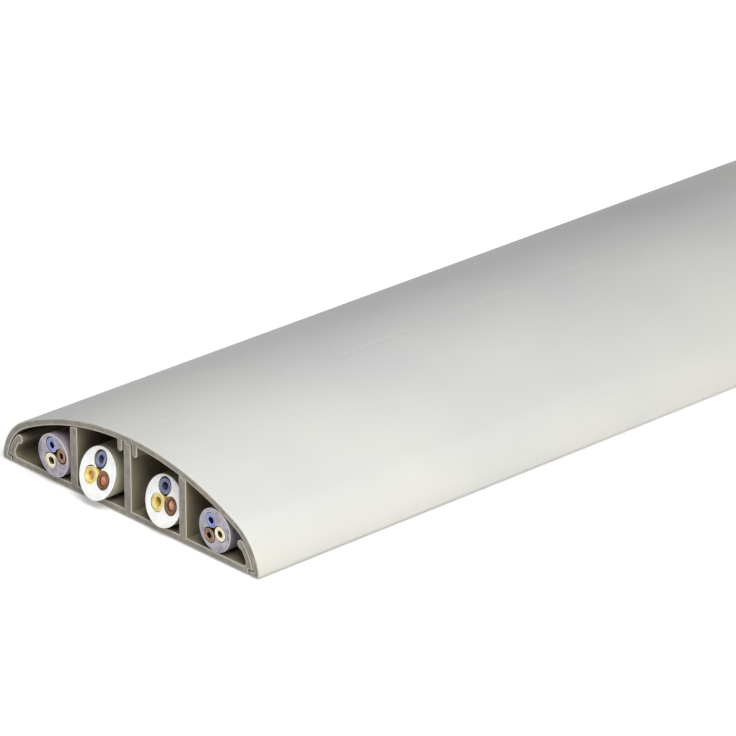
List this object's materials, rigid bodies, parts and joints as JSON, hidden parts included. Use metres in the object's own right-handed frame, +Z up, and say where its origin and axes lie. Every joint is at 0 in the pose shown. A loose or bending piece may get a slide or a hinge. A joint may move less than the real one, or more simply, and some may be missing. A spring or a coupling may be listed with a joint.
{
  "type": "floor cord cover",
  "caption": "Low domed floor cord cover: clip-on lid over a hooked base with cable chambers and a sheathed mains cable lying in each.",
  "frame": {"origin": "on the floor, under the middle of the cover's length and width", "axes": "+X across the cover, +Y along it away from the end whose cables are cut at a slant, +Z up from the floor"},
  "size_m": [0.075, 1.0022, 0.017],
  "materials": {
    "base_pvc": "extruded stone-grey PVC",
    "lid_pvc": "extruded pale grey PVC, satin outside",
    "grey_sheath": "lilac-grey cable sheath",
    "white_sheath": "white cable sheath",
    "blue_insulation": "blue core insulation",
    "brown_insulation": "brown core insulation",
    "earth_insulation": "green-yellow core insulation",
    "copper_wire": "dull cut copper"
  },
  "bodies": {
    "root": {"base": "base_pvc", "lid": "lid_pvc", "cable_1_sheath": "grey_sheath", "cable_1_core_blue": "blue_insulation", "cable_1_core_earth": "earth_insulation", "cable_1_core_brown": "brown_insulation", "cable_1_wire_blue": "copper_wire", "cable_1_wire_earth": "copper_wire", "cable_1_wire_brown": "copper_wire", "cable_2_sheath": "white_sheath", "cable_2_core_blue": "blue_insulation", "cable_2_core_earth": "earth_insulation", "cable_2_core_brown": "brown_insulation", "cable_2_wire_blue": "copper_wire", "cable_2_wire_earth": "copper_wire", "cable_2_wire_brown": "copper_wire", "cable_3_sheath": "white_sheath", "cable_3_core_blue": "blue_insulation", "cable_3_core_earth": "earth_insulation", "cable_3_core_brown": "brown_insulation", "cable_3_wire_blue": "copper_wire", "cable_3_wire_earth": "copper_wire", "cable_3_wire_brown": "copper_wire", "cable_4_sheath": "grey_sheath", "cable_4_core_blue": "blue_insulation", "cable_4_core_earth": "earth_insulation", "cable_4_core_brown": "brown_insulation", "cable_4_wire_blue": "copper_wire", "cable_4_wire_earth": "copper_wire", "cable_4_wire_brown": "copper_wire"}
  },
  "joints": []
}
